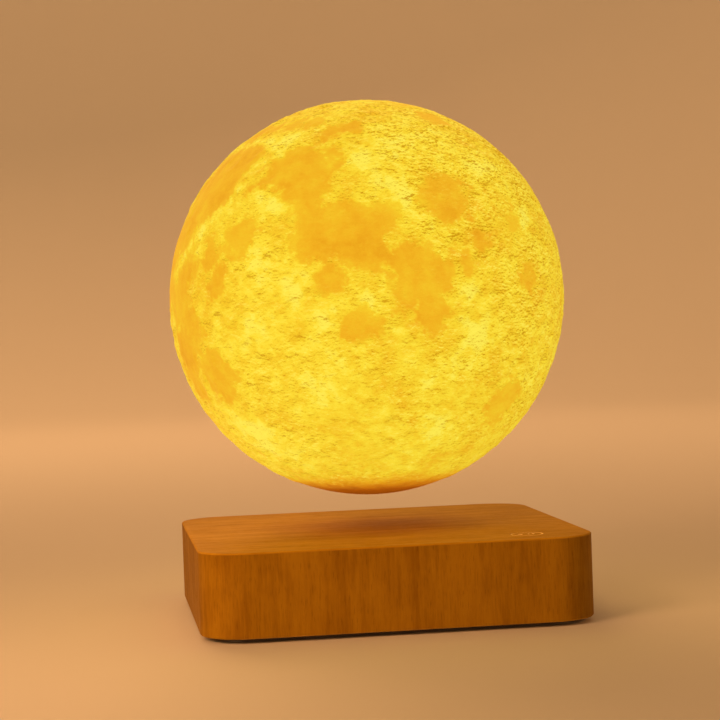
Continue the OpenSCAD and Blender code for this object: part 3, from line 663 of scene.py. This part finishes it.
LARGE_CRATERS = [
    (-43.3, -11.4, 95), (-58.8, -14.1, 231), (-44.4, -54.6, 227), (-17.5, -39.9, 110),
    (-5.2, -68.6, 173), (9.6, -20.1, 96), (51.6, -9.4, 101), (29.7, -4, 90),
    (-9.3, -1.9, 154), (-18.2, -1.9, 96), (-5.1, 5.2, 138), (-11.7, 4.3, 114),
    (-33, 0.7, 128), (-41.1, 6, 126), (-41.8, 14, 114), (-44.9, 41.5, 190),
    (-11.4, 26.4, 100), (-18, 23.6, 104), (-21.5, 33.2, 124), (-29.7, 32.2, 88),
    (-8.9, 61.1, 127), (-16.4, 61.6, 147), (-25.4, 60.8, 182), (-36.3, 60.4, 135),
    (31.8, 29.9, 95), (46.7, 44.4, 87), (53.9, 57, 123), (27.7, 56, 131),
    (50.2, 17.4, 88), (35.7, 79, 177), (8.5, 84.6, 137), (-27, 80.9, 189),
    (65.4, 4.5, 156), (25.8, 93.1, 164), (42.9, 100.7, 184), (-11.9, 104.6, 224),
    (-31.4, 112.2, 262), (-20.4, 129.1, 185), (5.7, 140.9, 313), (45.3, 151.4, 219),
    (-20.2, 149.2, 265), (-35.2, -166.3, 208), (18.5, -149.3, 180), (-14.2, -151.9, 222),
    (58.7, -146.1, 345), (41.6, -118.1, 214), (32.6, -95.3, 300), (57.1, -98.8, 195),
]
YOUNG_CRATERS = [
    (-43.3, -11.4, 11), (9.6, -20.1, 6), (8.1, -38, 6), (23.7, -47.5, 6), (20.5, 49.5, 7),
    (-8, 65, 5), (-25.4, 60.8, 6), (-11.4, 26.4, 3), (31, 26, 3), (-32.7, 54.1, 6),
    (-16.8, 41.7, 4), (14.4, -9, 3), (33.4, 62.6, 6), (-0.5, 40.6, 3), (-4.6, 89.9, 7),
    (43, 118, 9), (-8, 146, 8), (25, -145, 9), (-40, -120, 9),
]
print("plains:", len(PLAINS), "chains:", len(MOUNTAINS), "large craters:", len(LARGE_CRATERS))

# %% [markdown]
# ### A ball that is even all over
#
# A globe of rings and slices crowds its vertices at the poles. A cube blown up to a ball doesn't:
# each face becomes a curved square of nearly equal cells, most of all if the cuts are spread by
# their tangent first. The ball is cut level where the cap closes it.

# %% Blow a cube up to a ball and cut it
OUTER_CUTS, INNER_CUTS = 119, 31
OPENING_RADIUS, WALL = 24.2 * MM, 2 * MM


def even_ball(cuts, radius):
    ball = bmesh.new()
    bmesh.ops.create_cube(ball, size=2.0)
    bmesh.ops.subdivide_edges(ball, edges=ball.edges[:], cuts=cuts, use_grid_fill=True)
    for vertex in ball.verts:
        spread = Vector([math.tan(c * math.pi / 4) for c in vertex.co])
        vertex.co = spread.normalized() * radius
    print("ball of", len(ball.faces), "faces")
    return ball


def cut_opening(ball, radius):
    level = -math.sqrt(radius ** 2 - OPENING_RADIUS ** 2)
    everything = ball.verts[:] + ball.edges[:] + ball.faces[:]
    bmesh.ops.bisect_plane(ball, geom=everything, plane_co=(0, 0, level), plane_no=(0, 0, -1),
                           clear_outer=True)
    for vertex in ball.verts:
        if vertex.is_boundary:
            vertex.co = (*(vertex.co.to_2d().normalized() * OPENING_RADIUS), level)
    return level


# %% [markdown]
# ### The height of the moon's ground
#
# Everything here works on all the vertices at once. The plains' edges are frayed by noise. A
# crater is a bowl with a raised rim, measured in its own radii from its middle. The small ones
# are strewn with a fixed seed, and few of them lie on the plains.

# %% Ground noise
def ground_noise(directions, scale, octaves, seed, softness=0.9):
    shift = Vector((seed * 7.3, seed * 3.1, seed * 5.7))
    values = [noise.fractal(Vector(d) * scale + shift, softness, 2.1, octaves) for d in directions]
    return np.array(values)


def smooth(value, low, high):
    share = np.clip((value - low) / (high - low), 0, 1)
    return share * share * (3 - 2 * share)


# %% How far inside a plain each vertex lies
SHORE_WIDTH = 12
FRAY = 2.3


def degrees_from(directions, middle):
    return np.degrees(np.arccos(np.clip(directions @ middle, -1, 1)))


def degrees_from_chain(directions, start, end):
    """Degrees from the straight line over the ground between two places."""
    steps = np.linspace(0, 1, 9)[:, None]
    stations = (1 - steps) * towards(*start) + steps * towards(*end)
    stations /= np.linalg.norm(stations, axis=1)[:, None]
    return np.min([degrees_from(directions, station) for station in stations], axis=0)


def plain_field(directions):
    """Goes from 0 on high ground over 0.5 at a plain's shore to 1 well inside the plain."""
    inside = np.full(len(directions), -90.0)
    for latitude, longitude, radius in PLAINS:
        inside = np.maximum(inside, radius - degrees_from(directions, towards(latitude, longitude)))
    for start, end, width in MOUNTAINS:
        inside = np.minimum(inside, degrees_from_chain(directions, start, end) - width)
    fray = FRAY * ground_noise(directions, 11, 6, 1, 0.38)
    return np.clip(0.5 + (inside + fray) / SHORE_WIDTH, 0, 1)


# %% One crater
BOWL, RIM_AT, RIM_WIDTH, CRATER_END = 0.75, 1.05, 0.28, 2.2


def crater_relief(directions, middle, radius, depth, rim):
    """Heights, in millimetres, that one crater adds, and the vertices that it adds them to."""
    nearness = directions @ middle
    chosen = np.nonzero(nearness > math.cos(math.radians(CRATER_END * radius)))[0]
    distance = degrees_from(directions[chosen], middle) / radius
    bowl = -depth * np.clip(1 - distance ** 2, 0, BOWL)
    return chosen, bowl + rim * np.exp(-((distance - RIM_AT) / RIM_WIDTH) ** 2)


# %% [markdown]
# Small craters follow a power law, as on the real moon: for each large one there are many small
# ones. Their radii are in millimetres, and a crater is never deeper than the print's wall allows.

# %% Strewn craters
SMALL_CRATERS, SEED = 2300, 20
SMALLEST, LARGEST, POWER = 1.25, 4.8, 1.8
SHARE_ON_PLAINS = 0.12
DEPTH, DEEPEST, RIM = 0.16, 0.34, 0.45


def strew_craters(directions, plains, height):
    dice = np.random.default_rng(SEED)
    middles = dice.normal(size=(SMALL_CRATERS, 3))
    middles /= np.linalg.norm(middles, axis=1)[:, None]
    radii = np.clip(SMALLEST * dice.pareto(POWER, SMALL_CRATERS) + SMALLEST, SMALLEST, LARGEST)
    chances = dice.random(SMALL_CRATERS)
    kept = 0
    for middle, radius, chance in zip(middles, radii, chances):
        if plains[np.argmax(directions @ middle)] > 0.4 and chance > SHARE_ON_PLAINS:
            continue
        depth = min(DEEPEST, DEPTH * radius)
        degrees = math.degrees(radius * MM / moon_radius)
        chosen, relief = crater_relief(directions, middle, degrees, depth, RIM * depth)
        height[chosen] += relief
        kept += 1
    return kept


# %% The whole ground
PLAIN_DEPTH, ROUGHNESS, FINE_ROUGHNESS = 0.14, 0.16, 0.13
LARGE_DEPTH, LARGE_RIM = 0.26, 0.16


def moon_ground(directions):
    field = plain_field(directions)
    plains = smooth(field, 0.44, 0.56)
    rough = ROUGHNESS * ground_noise(directions, 5, 6, 2)
    fine = FINE_ROUGHNESS * ground_noise(directions, 17, 4, 3)
    height = -PLAIN_DEPTH * plains + (rough + fine) * (1 - 0.9 * plains)
    for latitude, longitude, size in LARGE_CRATERS:
        middle, radius = towards(latitude, longitude), size * KM_TO_DEGREES / 2
        chosen, relief = crater_relief(directions, middle, radius, LARGE_DEPTH, LARGE_RIM)
        height[chosen] += relief
    kept = strew_craters(directions, plains, height)
    print("small craters:", kept, "heights in mm:", round(height.min(), 2), round(height.max(), 2))
    return field, height


# %% [markdown]
# Young craters threw bright dust over the ground around them, in rays. A ray is a narrow range of
# directions as seen from the crater, so noise that depends only on the direction draws them all.

# %% Bright rays
RAY_COUNT = 3
RAY_LENGTH, HEART = 0.62, 0.22


def bright_rays(directions):
    light = np.zeros(len(directions))
    for number, (latitude, longitude, reach) in enumerate(YOUNG_CRATERS):
        middle = towards(latitude, longitude)
        side = np.cross(middle, (0, 0, 1))
        side /= np.linalg.norm(side)
        ahead = np.cross(middle, side)
        distance = degrees_from(directions, middle)
        near = np.nonzero(distance < 2.5 * reach)[0]
        angle = np.arctan2(directions[near] @ side, directions[near] @ ahead)
        round_it = [Vector((RAY_COUNT * math.cos(a), RAY_COUNT * math.sin(a), 9.7 * number)) for a in angle]
        rays = np.clip(0.35 + 1.6 * np.array([noise.noise(spot) for spot in round_it]), 0, 1)
        fall = np.exp(-distance[near] / (RAY_LENGTH * reach))
        heart = np.exp(-(distance[near] / (HEART * reach)) ** 2)
        light[near] = np.maximum(light[near], np.clip(rays * fall + heart, 0, 1))
    return light


# %% Pale patches and chains
CHAIN_LIGHT, CHAIN_WIDTH = 1.1, 1.3


def pale_patches(directions):
    light = np.zeros(len(directions))
    for latitude, longitude, radius in PALE_GROUND:
        distance = degrees_from(directions, towards(latitude, longitude))
        light = np.maximum(light, np.exp(-(distance / radius) ** 2))
    for start, end, width in MOUNTAINS:
        distance = degrees_from_chain(directions, start, end) / (CHAIN_WIDTH * width)
        light = np.maximum(light, CHAIN_LIGHT * np.exp(-distance ** 2))
    return light * np.clip(0.75 + 0.9 * ground_noise(directions, 9, 5, 4, 0.5), 0, 1.6)


# %% [markdown]
# ### Build the printed moon
#
# The outer ball gets the relief. The inner one stays plain and coarse, because nobody sees it. The two
# openings are bridged by the printed wall's edge. Four values are kept in layers on the vertices for the
# finish to read: how far inside a plain each is, the rays and the pale ground that cross it, and how it
# tilts, which the finish turns into painted light from above. A layer travels with its vertex. A list made
# beforehand would not: the cut leaves gaps in the mesh's memory, the lining's vertices fill them, and the
# order changes. The relief fades out towards the opening, so that the cap's edge fits it all round.

# %% Raise the ground and keep four values on each vertex
HIGHEST = 0.3
FADE = 3 * MM
KEPT = ("plain", "rays", "pale", "tilt")


def raise_ground(ball, level):
    for name in KEPT:
        ball.verts.layers.float.new(name)
    vertices = ball.verts[:]
    places = np.array([v.co[:] for v in vertices])
    directions = places / np.linalg.norm(places, axis=1)[:, None]
    field, height = moon_ground(directions)
    height = np.minimum(height, HIGHEST) * smooth(places[:, 2] - level, 0, FADE)
    for vertex, place in zip(vertices, places + directions * height[:, None] * MM):
        vertex.co = place
    ball.normal_update()
    # How far each vertex's ground tilts upwards, kept for painted light from above.
    tilt = np.array([v.normal[:] for v in vertices]) - directions
    found = (field, bright_rays(directions), pale_patches(directions), tilt[:, 2])
    for name, values in zip(KEPT, found):
        layer = ball.verts.layers.float[name]
        for vertex, value in zip(vertices, values):
            vertex[layer] = value


# %% Turn a shape into a mesh and a mesh into an object
def as_mesh(shape, name):
    mesh = bpy.data.meshes.new(name)
    shape.to_mesh(mesh)
    shape.free()
    mesh.shade_smooth()
    return mesh


def add_object(name, data):
    thing = bpy.data.objects.new(name, data)
    bpy.context.collection.objects.link(thing)
    return thing


# %% Join the ball and its lining
def build_moon():
    ball = even_ball(OUTER_CUTS, moon_radius)
    raise_ground(ball, cut_opening(ball, moon_radius))
    inner = even_ball(INNER_CUTS, moon_radius - WALL)
    cut_opening(inner, moon_radius - WALL)
    lining = as_mesh(inner, "lining")
    ball.from_mesh(lining)
    bpy.data.meshes.remove(lining)
    bmesh.ops.bridge_loops(ball, edges=[e for e in ball.edges if e.is_boundary])
    bmesh.ops.recalc_face_normals(ball, faces=ball.faces[:])
    bmesh.ops.translate(ball, verts=ball.verts[:], vec=moon_middle)
    open_edges = sum(e.is_boundary for e in ball.edges)
    mesh = as_mesh(ball, "printed_moon")
    mesh.set_sharp_from_angle(angle=math.radians(50))
    print("moon faces:", len(mesh.polygons), "open edges:", open_edges)
    return mesh


moon_mesh = build_moon()
printed_moon = add_object("printed_moon", moon_mesh)
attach(printed_moon, "moon")
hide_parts("moon_shell")

# %% [markdown]
# ### The glow
#
# The lamp is lit from inside, so its colour is light that has come through the plastic. We could
# trace that light through the wall, but it takes very many samples to come out clean, and an
# exported model can't hold it. Instead the surface gives the light itself, and a ramp turns how
# much comes through into its colour: deep brown where the magnet and the board shade the bottom,
# orange in the plains, yellow on the high ground and pale yellow on the rays.

# %% Glow colours
GLOW = [
    (0, colour(92, 40, 4)), (0.16, colour(146, 72, 6)), (0.34, colour(206, 120, 12)),
    (0.48, colour(227, 153, 21)), (0.6, colour(238, 177, 31)), (0.76, colour(243, 204, 41)),
    (0.88, colour(248, 219, 52)), (1, colour(250, 232, 78)),
]
# Colours of the relief: pale yellow for painted highlights, olive for painted shade and the print's layer
# edges. The print's crumbs tip it a little either way.
SHADE_AND_EDGE_OLIVE, HIGHLIGHT_PALE_YELLOW = colour(196, 140, 6), colour(255, 238, 88)
DIM_HEIGHT = 11 * MM
dim_low = moon_middle.z - moon_radius + 1.2 * MM
print("the glow is dim up to, in mm:", round((dim_low + DIM_HEIGHT) / MM, 1))


def light_through(tree, place):
    """How much light reaches the wall from inside: little at the bottom and all of it higher up."""
    wavering = weigh(tree, upward(tree, place), (clouds(tree, place, 90, 2), 1.6 * MM))
    return stretch(tree, wavering, dim_low, dim_low + DIM_HEIGHT, 0.1, 1)


# %% How strongly the relief shows
CONTRAST_SIDE = Vector((0.75, 0, 0.66))


def relief_contrast(tree, place):
    """The relief's painted light and shade and its print marks count for more towards one side, and vary a
    little in patches all over.
    """
    across = compare(tree, "DOT_PRODUCT", place, CONTRAST_SIDE)
    middle = moon_middle.dot(CONTRAST_SIDE)
    share = stretch(tree, across, middle - 0.4 * moon_radius, middle + moon_radius, 1.15, 2.2)
    patchy = stretch(tree, clouds(tree, place, 40, 3, 0.6), 0.4, 0.6, 0.8, 1.2)
    return multiply(tree, share, patchy)


# %% [markdown]
# The finish adds up the light first, and then the relief. Its painted light and shade pales one side of
# each step and ground that faces up, and turns the other side olive, and the print's layer edges turn it
# olive too. Nearly all of it counts for less on the smooth plains than on the high ground. The first number
# of each pair below is a share on the plains.

# %% Finish of the printed moon
def moon_finish():
    finish, tree, shader, place = new_finish("moon_print", Roughness=0.9, Emission_Strength=1,
                                             Specular_IOR_Level=0.1, Sheen_Weight=0.3,
                                             Sheen_Tint=(1, 0.75, 0.4, 1))
    plain, rays, pale, tilt = [
        add_node(tree, "Attribute", attribute_name=name, attribute_type="GEOMETRY").outputs["Fac"]
        for name in KEPT]
    marks = place_effect(tree, print_layers, Place=place)
    ragged = weigh(tree, plain, (clouds(tree, place, 120, 6, 0.72), 0.9), (marks["Crumbs"], 0.06))
    high_ground = stretch(tree, ragged, 1.06, 0.84)
    far_from_shore = stretch(tree, plain, 0.5, 0)

    def by_ground(value, on_plains, on_high_ground):
        """A value that counts for little on the plains and for more on high ground."""
        return multiply(tree, value, weigh(tree, on_plains, (high_ground, on_high_ground - on_plains)))

    patches = weigh(tree, -0.5, (clouds(tree, place, 55, 6, 0.64), 1))
    flakes = weigh(tree, -0.4, (stretch(tree, clouds(tree, place, 190, 4, 0.6), 0.4, 0.62), 1))
    light = weigh(tree, 0.615, (high_ground, 0.14), (far_from_shore, 0.025), (rays, 0.14),
                  (by_ground(patches, 0.42, 0.5), 1), (by_ground(flakes, 0.045, 0.11), 1),
                  (by_ground(marks["Crumbs"], 0.012, 0.04), 1), (by_ground(pale, 0.08, 0.19), 1))
    reached = light_through(tree, place)
    glow = ramp(tree, multiply(tree, light, reached), GLOW)

    # The relief mixes painted light and shade, from the step shading and the tilt, with the print's own
    # layer edges and crumbs. The tilt paints ground that faces up paler and ground that faces down olive,
    # as if lit from above.
    relief = weigh(tree, 0, (marks["Step Shading"], 0.5), (marks["Edges"], -0.28), (marks["Crumbs"], 0.12))
    relief = weigh(tree, multiply(tree, relief, relief_contrast(tree, place)), (tilt, 1.8))
    relief = multiply(tree, by_ground(relief, 0.3, 1), reached)
    lit = stretch(tree, relief, 0, 1, 0, 0.75)
    shaded = stretch(tree, relief, 0, -1, 0, 0.85)
    glow = mix_colours(tree, shaded, mix_colours(tree, lit, glow, HIGHLIGHT_PALE_YELLOW), SHADE_AND_EDGE_OLIVE)
    plastic = mix_colours(tree, high_ground, (0.035, 0.014, 0.001, 1), (0.045, 0.02, 0.002, 1))
    fill(tree, shader, {"Base Color": plastic, "Emission Color": glow})
    height = weigh(tree, marks["Specks"], (marks["Layers"], 0.25), (marks["Edges"], -0.8))
    emboss(tree, shader, height, 0.12 * MM, 0.5)
    return finish


moon_mesh.materials.append(moon_finish())

# %% [markdown]
# The cap that closes the moon carries on its curve, printed the same way but with no relief, only a faint
# painted shading of the print's steps. No light falls on it from inside, because the magnet, the coil and
# the board are in the way, yet it is painted with a dim brown glow, darker towards the bottom. The collar
# inside the opening is plain white print.

# %% Cap and collar
def cap_finish():
    finish, tree, shader, place = new_finish("moon_cap", Roughness=0.6, Emission_Strength=1,
                                             Specular_IOR_Level=0.3)
    marks = place_effect(tree, print_layers, Place=place)
    mottle = clouds(tree, place, 140, 5, 0.62)
    tone = weigh(tree, 0.52, (marks["Step Shading"], 0.08), (mottle, 0.3))
    # The cap's glow is painted: dim brown and darker towards the bottom, with faint painted step shading.
    brightness = multiply(tree, tone, light_through(tree, place))
    plastic = mix_colours(tree, mottle, (0.2, 0.1, 0.02, 1), (0.28, 0.15, 0.035, 1))
    fill(tree, shader, {"Base Color": plastic, "Emission Color": ramp(tree, brightness, GLOW)})
    emboss(tree, shader, weigh(tree, marks["Specks"], (marks["Layers"], 0.4)), 0.14 * MM, 0.5)
    return finish


def white_print_finish():
    finish, tree, shader, place = new_finish("white_print", Roughness=0.55)
    marks = place_effect(tree, print_layers, Place=place)
    plastic = mix_colours(tree, marks["Specks"], (0.7, 0.66, 0.58, 1), (0.84, 0.81, 0.74, 1))
    tree.links.new(plastic, shader["Base Color"])
    emboss(tree, shader, marks["Layers"], 0.08 * MM, 0.5)
    return finish


dress(cap_finish(), "bottom_cap")
dress(white_print_finish(), "shell_collar")

# %% [markdown]
# ## The set
#
# A pale floor that curves up into a wall all the way round, so every view has the same plain
# background. It is one profile, spun. Seen from below, the floor would hide the lamp's underside,
# so its back is clear.

# %% Floor and wall
FLOOR_RADIUS, WALL_HEIGHT, SWEEP = 2.6, 2.2, 0.9
SWEEP_STEPS, ROUND_STEPS = 12, 96


def set_profile():
    flat_end = FLOOR_RADIUS - SWEEP
    points = [Vector((0, 0, 0)), Vector((flat_end, 0, 0))]
    for step in range(1, SWEEP_STEPS + 1):
        angle = step / SWEEP_STEPS * math.pi / 2
        points.append(Vector((flat_end + SWEEP * math.sin(angle), 0, SWEEP - SWEEP * math.cos(angle))))
    return points + [Vector((FLOOR_RADIUS, 0, WALL_HEIGHT))]


def build_set():
    shell = bmesh.new()
    corners = [shell.verts.new(point) for point in set_profile()]
    lines = [shell.edges.new(pair) for pair in zip(corners, corners[1:])]
    bmesh.ops.spin(shell, geom=corners + lines, cent=(0, 0, 0), axis=(0, 0, 1), angle=2 * math.pi,
                   steps=ROUND_STEPS, use_merge=True)
    bmesh.ops.remove_doubles(shell, verts=shell.verts[:], dist=1e-5)
    bmesh.ops.recalc_face_normals(shell, faces=shell.faces[:])
    if sum(face.normal.z for face in shell.faces) < 0:
        bmesh.ops.reverse_faces(shell, faces=shell.faces[:])
    mesh = as_mesh(shell, "studio_floor")
    print("set faces:", len(mesh.polygons))
    return mesh


# %% Floor finish
def floor_finish():
    finish, tree = new_finish("studio_floor", Roughness=0.75, Base_Color=(0.47, 0.44, 0.4, 1))[:2]
    behind = add_node(tree, "NewGeometry").outputs["Backfacing"]
    clear = add_node(tree, "BsdfTransparent").outputs[0]
    solid = tree.nodes["Principled BSDF"].outputs[0]
    both = add_node(tree, "MixShader", {0: behind, 1: solid, 2: clear})
    tree.links.new(both.outputs[0], tree.nodes["Material Output"].inputs["Surface"])
    return finish


studio_floor = add_object("studio_floor", build_set())
studio_floor.data.materials.append(floor_finish())

# %% [markdown]
# ### Light and camera
#
# The light is soft and warm. The main light is close to the base's front left corner, so that the
# wood is bright on the left and dark on the right, and its spread is narrow, so that it doesn't
# burn a patch into the floor. A weak one fills in from the right, and one from behind draws the
# edges. Four lights turned away from the lamp wash the wall evenly, whichever way we look. The set
# is kept rather dim, so that the moon can glow.

# %% Soft lights
def soft_light(name, place, size, power, tint, aim=moon_middle, spread=180):
    lamp = bpy.data.lights.new(name, "AREA")
    lamp.shape, lamp.size, lamp.energy, lamp.color = "DISK", size, power, tint
    lamp.spread = math.radians(spread)
    holder = add_object(name, lamp)
    holder.location = place
    holder.rotation_mode = "QUATERNION"
    holder.rotation_quaternion = (aim - Vector(place)).to_track_quat("-Z", "Y")
    holder.visible_camera = False
    print(name, "of", power, "W,", size, "m wide")
    return holder


WARM, CALM = (1, 0.5, 0.2), (1, 0.56, 0.25)
left_corner = Vector((-0.07, -0.07, 0.03))
soft_light("main_light", (-0.38, -0.36, 0.28), 0.3, 0.47, WARM, left_corner, 65)
soft_light("side_light", (1.5, -0.9, 0.9), 1.2, 0.3, CALM)
soft_light("back_light", (-0.3, 1.6, 1.4), 1.2, 22, WARM)
for number in range(4):
    away = Vector((math.sin(number * math.pi / 2), math.cos(number * math.pi / 2), 0))
    soft_light(f"wall_light_{number + 1}", away * 0.9 + Vector((0, 0, 1.7)), 1, 24, CALM,
               away * FLOOR_RADIUS + Vector((0, 0, 0.6)))

# %% [markdown]
# One more light, for views of the underside, shines up through the floor. Its shadow linking takes
# the floor out of what can shade it, because only the floor's back is clear, not its front. Last
# comes a dim glow from all around.

# %% Light from below and all around
GLOW_AROUND = 0.17
under_light = soft_light("under_light", (0, 0, -0.9), 0.1, 4, CALM)
lets_light_up = bpy.data.collections.new("lets_light_up")
lets_light_up.objects.link(studio_floor)
lets_light_up.collection_objects[0].light_linking.link_state = "EXCLUDE"
under_light.light_linking.blocker_collection = lets_light_up

surroundings = bpy.data.worlds.new("surroundings")
bpy.context.scene.world = surroundings
surroundings.use_nodes = True
background = surroundings.node_tree.nodes["Background"].inputs
fill(surroundings.node_tree, background, {"Color": (*CALM, 1), "Strength": GLOW_AROUND})
print("light from all around:", GLOW_AROUND)

# %% [markdown]
# The camera stands a little to the left, almost level with the moon's middle, and is tipped
# slightly to the right, as the photographer's was.

# %% Camera
AZIMUTH, RISE, ROLL = math.radians(-7.67), math.radians(1.16), math.radians(-2.09)
DISTANCE, LENS = 0.7976, 104.35
looked_at = Vector((-0.0033, 0.0, 0.0956))
level = math.cos(RISE)
backwards = Vector((math.sin(AZIMUTH) * level, -math.cos(AZIMUTH) * level, math.sin(RISE)))
camera = add_object("camera", bpy.data.cameras.new("camera"))
camera.data.lens = LENS
camera.data.clip_start = 0.05
camera.location = looked_at + backwards * DISTANCE
camera.rotation_mode = "QUATERNION"
camera.rotation_quaternion = (-backwards).to_track_quat("-Z", "Y") @ Quaternion((0, 0, 1), ROLL)
bpy.context.scene.camera = camera
bpy.context.scene.view_settings.view_transform = "Standard"
print("camera at", [round(c, 3) for c in camera.location])
